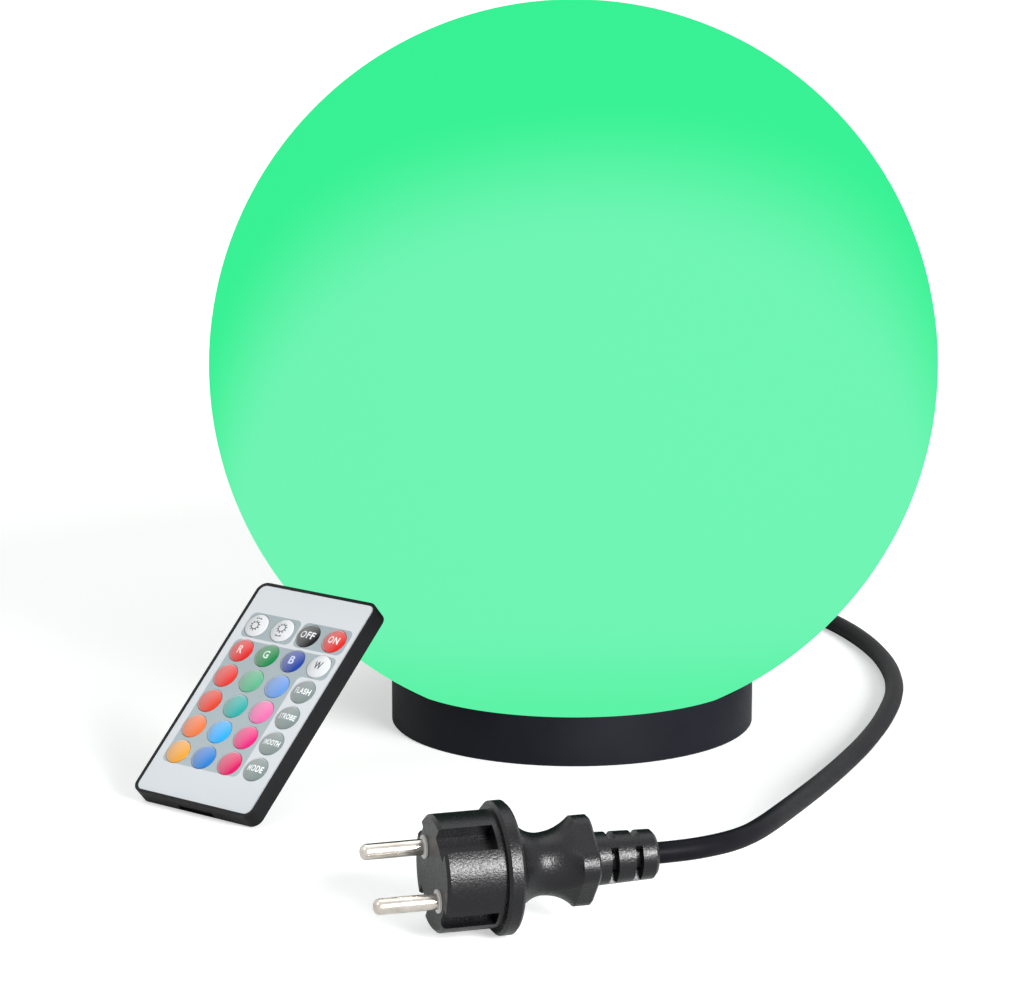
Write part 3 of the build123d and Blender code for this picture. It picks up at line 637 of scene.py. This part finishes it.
# ---------------------------------------------------------------- base and lampholder
class BaseOperator(bpy.types.Operator):
    """Finish the base ring, its cover, seal, bush and screws"""

    bl_idname = "globe_light.base"
    bl_label = "Base"

    def execute(self, context):
        # ABS, injection-moulded with a satin mould face: bluish black, its tone drifting a little from place
        # to place along the ring.
        satin = surface(
            "abs_moulded_satin", "#121319", "#191A21", rough=(0.4, 0.5), specular=0.12, drift_mm=40.0,
            grain_mm=0.7, grain_depth_mm=0.012,
        )
        for node in ("base_housing", "base_cover"):
            dress(node, satin)
        # Nitrile rubber, compression-moulded: dull black.
        rubber = surface("nitrile_rubber_moulded", "#111114", "#18181B", rough=(0.6, 0.75), specular=0.2)
        for node in ("rim_seal", "cord_bush"):
            dress(node, rubber)
        # Steel, zinc-plated: bluish grey with a cloudy, half-dull shine.
        zinc = surface(
            "steel_zinc_plated", "#9A9DA3", "#C2C5CA", rough=(0.28, 0.4), metallic=1.0, drift_mm=3.0,
            grain_mm=0.4, grain_depth_mm=0.005,
        )
        for node in ("cover_screws", "column_screws"):
            dress(node, zinc)
        return {"FINISHED"}


class HolderOperator(bpy.types.Operator):
    """Finish the lampholder on its column, and the bulb in it"""

    bl_idname = "globe_light.holder"
    bl_label = "Lampholder and Bulb"

    def execute(self, context):
        # Thermoset, press-moulded: off-white and fairly glossy.
        thermoset = surface("thermoset_press_moulded", "#DAD8D0", "#E6E4DD", rough=(0.3, 0.4))
        # Polybutylene, injection-moulded: plain white.
        white = surface("polybutylene_moulded", "#E4E4E2", "#EEEEEC", rough=(0.35, 0.45))
        # Brass, drawn and left bright.
        brass = surface("brass_drawn_bright", "#B88C3E", "#D2A652", rough=(0.2, 0.3), metallic=1.0)
        # Nickel plate over a drawn shell.
        nickel = surface("nickel_plated_shell", "#B8B2A8", "#D0CBC2", rough=(0.18, 0.28), metallic=1.0)
        # Glass-fibre laminate with white solder mask.
        laminate = surface("laminate_white_mask", "#D8DCD8", "#E6E9E6", rough=(0.4, 0.5))
        # Phosphor-filled silicone over the chips.
        phosphor = surface("silicone_phosphor_cast", "#E2C24A", "#F0D468", rough=(0.35, 0.45))
        # Polycarbonate diffuser, blow-moulded: milky, tinted green by the light in it.
        milky = surface("polycarbonate_milky", "#A9EBCB", "#C4F5DC", rough=(0.4, 0.5))
        pieces = {
            "holder_column": white, "holder_body": thermoset, "holder_sleeve": brass, "holder_contact": brass,
            "bulb_cap": nickel, "bulb_tip": brass, "bulb_housing": white, "bulb_led_board": laminate,
            "bulb_led_chips": phosphor, "bulb_dome": milky,
        }
        for node, material in pieces.items():
            dress(node, material)
        dress("inner_lead", sheath())
        return {"FINISHED"}


# ---------------------------------------------------------------- plug
class PlugOperator(bpy.types.Operator):
    """Finish the moulded plug and its pins"""

    bl_idname = "globe_light.plug"
    bl_label = "Plug"

    def execute(self, context):
        # Rubber, over-moulded on the cord's end in an eroded mould: black with a sparkling fine grain, drawn
        # twice as coarse as it is, so that it shows.
        grain = surface(
            "rubber_overmoulded_grained", "#060609", "#0A0A0E", rough=(0.24, 0.4), specular=0.36,
            drift_mm=18.0, grain_mm=0.6, grain_depth_mm=0.1,
        )
        dress("plug_body", grain)
        # Polyamide collars round the pins' roots, moulded: nearly white.
        dress("pin_collars", surface("polyamide_moulded", "#C6C6C4", "#DADAD8", rough=(0.4, 0.5)))
        # Brass pins, turned and nickel-plated: warm bright metal with fine lathe lines.
        pins = surface(
            "nickel_plated_turned_brass", "#C2B9B0", "#DCD6CE", rough=(0.14, 0.24), metallic=1.0,
            drift_mm=6.0, grain_mm=0.5, grain_depth_mm=0.004,
        )
        dress("plug_pin_left", pins)
        dress("plug_pin_right", pins)
        return {"FINISHED"}


# ---------------------------------------------------------------- remote
class RemoteCaseOperator(bpy.types.Operator):
    """Finish the remote's case, its printed face, its battery tray and its insides"""

    bl_idname = "globe_light.remote_case"
    bl_label = "Remote Case"

    def execute(self, context):
        # ABS, injection-moulded: near black with a fine even texture.
        case = surface(
            "abs_moulded_fine_texture", "#101012", "#161618", rough=(0.42, 0.55), specular=0.22,
            grain_mm=0.5, grain_depth_mm=0.01,
        )
        dress("remote_case", case)
        dress("battery_tray", case)
        dress("remote_face_plate", self.printed_face())
        # Glass-fibre laminate with green solder mask.
        dress("remote_board", surface("laminate_green_mask", "#1C5A38", "#25704A", rough=(0.35, 0.45)))
        # Silicone, compression-moulded: pale grey and matt.
        dress("remote_contact_mat", surface("silicone_moulded", "#BFC2C0", "#D0D2D0", rough=(0.6, 0.7)))
        # Epoxy with a dark tint, cast round the emitter chip.
        dress("remote_emitter", surface("epoxy_cast_tinted", "#1E1626", "#2A2034", rough=(0.12, 0.2)))
        # Stainless steel, pressed.
        steel = surface("stainless_pressed", "#A9ABAE", "#C9CBCD", rough=(0.2, 0.32), metallic=1.0)
        dress("coin_cell", steel)
        dress("battery_contact", steel)
        return {"FINISHED"}

    def printed_face(self):
        """Polycarbonate film, screen-printed: silver-grey with matt grey panels round the keys."""
        material, tree, shader = new_material("polycarbonate_film_screen_printed")
        place = add_node(tree, "ShaderNodeTexCoord").outputs["Object"]
        into = remote_matrix().inverted()
        # The mapping brings the pattern into the remote's own millimetres.
        local = add_node(
            tree, "ShaderNodeMapping",
            {"Location": into.translation, "Rotation": into.to_euler(), "Scale": into.to_scale()},
            {"Vector": place}, vector_type="POINT",
        )
        # Panel middles, half sizes and corner radii, from the face's lower middle. The last is the square
        # that a disc of silver then cuts to the round inner corner between the third and the fourth.
        panels = [
            (-10.7, 69.2, 11.0, 5.0, 2.2), (12.0, 69.2, 10.6, 5.0, 2.2), (0.4, 58.5, 22.2, 4.6, 2.2),
            (-5.1, 38.0, 16.7, 25.1, 2.2), (12.6, 52.9, 1.0, 1.0, 0.1),
        ]
        disc_middle = (13.6, 51.9, REMOTE_FACE)
        disc_radius = 2.0
        # Half the width over which an edge of the print turns from one grey to the other.
        blur = 0.06
        mask = None
        for middle_x, middle_y, half_x, half_y, corner in panels:
            away = add_node(
                tree, "ShaderNodeVectorMath", {1: (middle_x, middle_y, 0.0)}, {0: local.outputs[0]},
                operation="SUBTRACT",
            )
            flat = add_node(
                tree, "ShaderNodeVectorMath", {1: (1.0, 1.0, 0.0)}, {0: away.outputs[0]},
                operation="MULTIPLY",
            )
            flat = add_node(tree, "ShaderNodeVectorMath", links={0: flat.outputs[0]}, operation="ABSOLUTE")
            past = add_node(
                tree, "ShaderNodeVectorMath", {1: (half_x - corner, half_y - corner, 0.0)},
                {0: flat.outputs[0]}, operation="SUBTRACT",
            )
            past = add_node(
                tree, "ShaderNodeVectorMath", {1: (0.0, 0.0, 0.0)}, {0: past.outputs[0]},
                operation="MAXIMUM",
            )
            reach = add_node(tree, "ShaderNodeVectorMath", links={0: past.outputs[0]}, operation="LENGTH")
            inside = add_node(
                tree, "ShaderNodeMapRange",
                {"From Min": corner - blur, "From Max": corner + blur, "To Min": 1.0, "To Max": 0.0},
                {"Value": reach.outputs["Value"]},
            )
            if mask is None:
                mask = inside.outputs["Result"]
            else:
                mask = add_node(
                    tree, "ShaderNodeMath", links={0: mask, 1: inside.outputs["Result"]}, operation="MAXIMUM"
                ).outputs[0]
        disc = add_node(
            tree, "ShaderNodeVectorMath", {1: disc_middle}, {0: local.outputs[0]}, operation="DISTANCE"
        )
        outside = add_node(
            tree, "ShaderNodeMapRange", {"From Min": disc_radius - blur, "From Max": disc_radius + blur},
            {"Value": disc.outputs["Value"]},
        )
        mask = add_node(
            tree, "ShaderNodeMath", links={0: mask, 1: outside.outputs["Result"]}, operation="MULTIPLY"
        ).outputs[0]
        # Both greys change a little from the face's foot to its top.
        along = add_node(tree, "ShaderNodeSeparateXYZ", links={0: local.outputs[0]}).outputs["Y"]
        fade = add_node(
            tree, "ShaderNodeMapRange", {"From Min": 0.0, "From Max": REMOTE_LENGTH}, {"Value": along}
        )
        silver = add_node(
            tree, "ShaderNodeMix", {6: linear("#CDD2D6"), 7: linear("#D6DADE")}, {0: fade.outputs["Result"]},
            data_type="RGBA",
        ).outputs[2]
        panel = add_node(
            tree, "ShaderNodeMix", {6: linear("#A9B5B9"), 7: linear("#A0ACB1")}, {0: fade.outputs["Result"]},
            data_type="RGBA",
        ).outputs[2]
        colour = add_node(
            tree, "ShaderNodeMix", links={0: mask, 6: silver, 7: panel}, data_type="RGBA"
        )
        tree.links.new(colour.outputs[2], shader.inputs["Base Color"])
        shader.inputs["Roughness"].default_value = 0.42
        shader.inputs["Specular IOR Level"].default_value = 0.2
        grain = add_node(tree, "ShaderNodeTexNoise", {"Scale": 1000 / 0.5}, {"Vector": place})
        relief = add_node(
            tree, "ShaderNodeBump", {"Distance": 0.005 * MM}, {"Height": grain.outputs["Fac"]}
        )
        tree.links.new(relief.outputs["Normal"], shader.inputs["Normal"])
        return material


class KeysOperator(bpy.types.Operator):
    """Model the domed colour keys"""

    bl_idname = "globe_light.keys"
    bl_label = "Keys"

    def execute(self, context):
        place = remote_matrix()
        key_materials = {}
        for name, across, along in key_places():
            code = KEY_COLOURS[name]
            if code not in key_materials:
                key_materials[code] = self.key_colour_and_painted_light(name, code)
            bm = bmesh.new()
            low, high = KEY_FLANGE
            reach = KEY_RADIUS + 0.55
            centre = (0.0, 0.0, KEY_TOP - KEY_BALL)
            edge = KEY_RADIUS - 0.1
            start = bm.verts.new((0.0, 0.0, low))
            corner = draw_line(
                bm, start, (reach, 0.0, low), (reach, 0.0, high), (KEY_RADIUS, 0.0, high),
                (KEY_RADIUS, 0.0, KEY_STEM_TOP - 0.08), (KEY_RADIUS - 0.02, 0.0, KEY_STEM_TOP),
                (edge, 0.0, centre[2] + math.sqrt(KEY_BALL**2 - edge**2)),
            )
            draw_arc(bm, corner, centre, -math.degrees(math.asin(edge / KEY_BALL)), 12)
            spin_section(bm, 48)
            # The chart lies flat on the key, with the dome's rim at half a unit from its middle; the key's
            # painted shading and painted highlight are laid out on it.
            chart = bm.loops.layers.uv.new("UVMap")
            for face in bm.faces:
                for loop in face.loops:
                    across_key, along_key = loop.vert.co.xy / (2 * KEY_RADIUS)
                    loop[chart].uv = (across_key + 0.5, along_key + 0.5)
            bmesh.ops.transform(bm, matrix=place @ Matrix.Translation((across, along, 0)), verts=bm.verts)
            piece = finish_piece(bm, name + "_cap", key_materials[code], name)
            keep_edges(piece, 50)
            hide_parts(name)
        return {"FINISHED"}

    def key_colour_and_painted_light(self, name, code):
        """Silicone key cap, moulded and lacquered, with a soft sheen; painted shading makes it paler above
        left and darker below right, and a painted highlight runs along its upper-left edge.
        """
        material, tree, shader = new_material("silicone_lacquered_" + name)
        shader.inputs["Roughness"].default_value = 0.3
        shader.inputs["Specular IOR Level"].default_value = 0.05
        chart = add_node(tree, "ShaderNodeUVMap", uv_map="UVMap")
        centred = add_node(
            tree, "ShaderNodeVectorMath", {1: (0.5, 0.5, 0.0)}, {0: chart.outputs[0]}, operation="SUBTRACT"
        )
        # The side toward the upper left, from which the painted light falls.
        painted_light_slant = add_node(
            tree, "ShaderNodeVectorMath", {1: (-0.9, 0.44, 0.0)}, {0: centred.outputs[0]},
            operation="DOT_PRODUCT",
        ).outputs["Value"]
        radius = add_node(
            tree, "ShaderNodeVectorMath", links={0: centred.outputs[0]}, operation="LENGTH"
        ).outputs["Value"]
        # Painted shading: the key's colour turns paler towards the upper left and darker towards the lower
        # right, as if lit from the upper left.
        base = Vector(linear(code)[:3])
        pale = base.lerp(Vector((1.0, 1.0, 1.0)), 0.26)
        painted_shade_colour = base * 0.78
        painted_shading = add_node(
            tree, "ShaderNodeMapRange", {"From Min": -0.42, "From Max": 0.42}, {"Value": painted_light_slant}
        )
        colour = add_node(
            tree, "ShaderNodeMix", {6: (*painted_shade_colour, 1.0), 7: (*pale, 1.0)}, {0: painted_shading.outputs["Result"]},
            data_type="RGBA",
        )
        # Painted highlight: a thin pale band just inside the dome's rim, brightest on the upper left and gone
        # on the lower right.
        edge = add_node(
            tree, "ShaderNodeMapRange", {"From Min": 0.452, "From Max": 0.478}, {"Value": radius}
        )
        lit = add_node(
            tree, "ShaderNodeMapRange", {"From Min": -0.1, "From Max": 0.4, "To Max": 0.75}, {"Value": painted_light_slant}
        )
        rim = add_node(
            tree, "ShaderNodeMath", links={0: edge.outputs["Result"], 1: lit.outputs["Result"]},
            operation="MULTIPLY",
        )
        colour = add_node(
            tree, "ShaderNodeMix", {7: linear("#F2F4F5")}, {0: rim.outputs[0], 6: colour.outputs[2]},
            data_type="RGBA",
        )
        tree.links.new(colour.outputs[2], shader.inputs["Base Color"])
        return material


class LegendsOperator(bpy.types.Operator):
    """Print the words and small suns on the keys"""

    bl_idname = "globe_light.legends"
    bl_label = "Key Legends"

    def execute(self, context):
        middles = {name: (across, along) for name, across, along in key_places()}
        for name, word, height, width, code in LEGENDS:
            bm = self.word_mesh(context, word, height, width)
            bmesh.ops.translate(bm, verts=bm.verts, vec=(WORD_SHIFT, 0.0, 0.0))
            self.lay_on_key(bm, name, middles[name], code)
        for name, upwards in (("key_brighter", True), ("key_dimmer", False)):
            bm = self.sun_mesh(upwards)
            self.lay_on_key(bm, name, middles[name], "#3E4448")
        return {"FINISHED"}

    def word_mesh(self, context, word, height, width):
        """A flat mesh of one word, centred, of this height and width."""
        text = bpy.data.curves.new("word", "FONT")
        text.body = word
        text.size = 3.0
        text.resolution_u = 3
        text.offset = 0.075
        text.space_character = 1.1
        holder = bpy.data.objects.new("word", text)
        context.scene.collection.objects.link(holder)
        context.view_layer.update()
        mesh = bpy.data.meshes.new_from_object(holder)
        bpy.data.objects.remove(holder)
        bm = bmesh.new()
        bm.from_mesh(mesh)
        bpy.data.meshes.remove(mesh)
        low = [min(corner.co[axis] for corner in bm.verts) for axis in (0, 1)]
        high = [max(corner.co[axis] for corner in bm.verts) for axis in (0, 1)]
        middle = Vector(((low[0] + high[0]) / 2, (low[1] + high[1]) / 2, 0.0))
        bmesh.ops.translate(bm, verts=bm.verts, vec=-middle)
        factors = (width / (high[0] - low[0]), height / (high[1] - low[1]), 1.0)
        bmesh.ops.scale(bm, verts=bm.verts, vec=factors)
        return bm

    def sun_mesh(self, upwards):
        """A small ring-shaped sun with ten rays, and a curved arrow over or under it."""
        rays = 10
        ray_middle = 1.75
        ray_length = 0.6
        ray_width = 0.36
        arrow_from = 68.0
        arrow_to = 112.0
        bm = bmesh.new()
        side = 1.0 if upwards else -1.0
        self.ring_part(bm, 1.2, 0.28, 0.0, 360.0, 30)
        for ray in range(rays):
            made = bmesh.ops.create_grid(bm, x_segments=1, y_segments=1, size=0.5)
            turn = Matrix.Rotation((ray + 0.5) * math.tau / rays, 4, "Z")
            stretch = Matrix.Diagonal((ray_length, ray_width, 1, 1))
            place = turn @ Matrix.Translation((ray_middle, 0, 0)) @ stretch
            bmesh.ops.transform(bm, matrix=place, verts=made["verts"])
        bmesh.ops.translate(bm, verts=bm.verts, vec=(0, -0.5 * side, 0))
        before = set(bm.verts)
        self.ring_part(bm, 2.45, 0.3, arrow_from, arrow_to - arrow_from, 8)
        for turn in (arrow_from, arrow_to):
            head = bmesh.ops.create_circle(bm, cap_ends=True, segments=3, radius=0.42)
            lean = Matrix.Rotation(math.radians(turn + (180 if turn < 90 else 0)), 4, "Z")
            place = Matrix.Rotation(math.radians(turn - 90), 4, "Z") @ Matrix.Translation((0, 2.6, 0))
            bmesh.ops.transform(bm, matrix=place @ lean, verts=head["verts"])
        arrow = [corner for corner in bm.verts if corner not in before]
        bmesh.ops.transform(bm, matrix=Matrix.Diagonal((1, side, 1, 1)), verts=arrow)
        return bm

    def ring_part(self, bm, radius, width, start, angle, steps):
        """A flat stretch of a ring, from one angle through another, in degrees."""
        inner = bm.verts.new((radius, 0.0, 0.0))
        outer = bm.verts.new((radius + width, 0.0, 0.0))
        bar = bm.edges.new((inner, outer))
        bmesh.ops.rotate(
            bm, verts=[inner, outer], cent=(0, 0, 0), matrix=Matrix.Rotation(math.radians(start), 3, "Z")
        )
        bmesh.ops.spin(
            bm, geom=[inner, outer, bar], cent=(0, 0, 0), axis=(0, 0, 1), angle=math.radians(angle),
            steps=steps, use_merge=angle == 360.0, use_duplicate=False,
        )

    def lay_on_key(self, bm, name, middle, code):
        """Cuts a flat mesh fine and lays it a hair above the key's dome, where the print is."""
        for _ in range(3):
            bmesh.ops.triangulate(bm, faces=bm.faces[:])
            long_edges = [edge for edge in bm.edges if edge.calc_length() > PRINT_EDGE]
            bmesh.ops.subdivide_edges(bm, edges=long_edges, cuts=1)
        bmesh.ops.triangulate(bm, faces=bm.faces[:])
        for corner in bm.verts:
            square = corner.co.x**2 + corner.co.y**2
            corner.co.z = KEY_TOP - KEY_BALL + math.sqrt(KEY_BALL**2 - square) + PRINT_HEIGHT
        for face in bm.faces:
            face.normal_update()
            if face.normal.z < 0:
                face.normal_flip()
        place = remote_matrix() @ Matrix.Translation((middle[0], middle[1], 0))
        bmesh.ops.transform(bm, matrix=place, verts=bm.verts)
        # Pad-printing ink: thin, flat and half matt.
        ink = surface(
            "ink_pad_printed_" + name, code, code, rough=(0.4, 0.5), grain_mm=0.4, grain_depth_mm=0.002
        )
        finish_piece(bm, name + "_legend", ink, name, smooth=False, outwards=False)


# ---------------------------------------------------------------- panel and registration
STEPS = [StageOperator, CordOperator, GlobeOperator, BaseOperator, HolderOperator, PlugOperator,
         RemoteCaseOperator, KeysOperator, LegendsOperator]


class GlobeLightPanel(bpy.types.Panel):
    """Lists the settings and the steps that dress the light"""

    bl_idname = "VIEW3D_PT_globe_light"
    bl_label = "Globe Light"
    bl_space_type = "VIEW_3D"
    bl_region_type = "UI"
    bl_category = "Globe Light"

    def draw(self, context):
        layout = self.layout
        for group in ("globe_light_settings", "cord_settings", "studio_settings"):
            settings = getattr(context.scene, group)
            box = layout.box()
            for name in settings.__annotations__:
                box.prop(settings, name)
        for step in STEPS:
            layout.operator(step.bl_idname)


GROUPS = {
    "globe_light_settings": GlobeLightSettings,
    "cord_settings": CordSettings,
    "studio_settings": StudioSettings,
}


def register():
    for name, group in GROUPS.items():
        bpy.utils.register_class(group)
        setattr(bpy.types.Scene, name, bpy.props.PointerProperty(type=group))
    for step in STEPS:
        bpy.utils.register_class(step)
    bpy.utils.register_class(GlobeLightPanel)


def unregister():
    bpy.utils.unregister_class(GlobeLightPanel)
    for step in reversed(STEPS):
        bpy.utils.unregister_class(step)
    for name, group in GROUPS.items():
        delattr(bpy.types.Scene, name)
        bpy.utils.unregister_class(group)


def main():
    register()
    bpy.ops.globe_light.stage()
    bpy.ops.globe_light.cord()
    bpy.ops.globe_light.globe()
    bpy.ops.globe_light.base()
    bpy.ops.globe_light.holder()
    bpy.ops.globe_light.plug()
    bpy.ops.globe_light.remote_case()
    bpy.ops.globe_light.keys()
    bpy.ops.globe_light.legends()


if __name__ == "__main__":
    main()
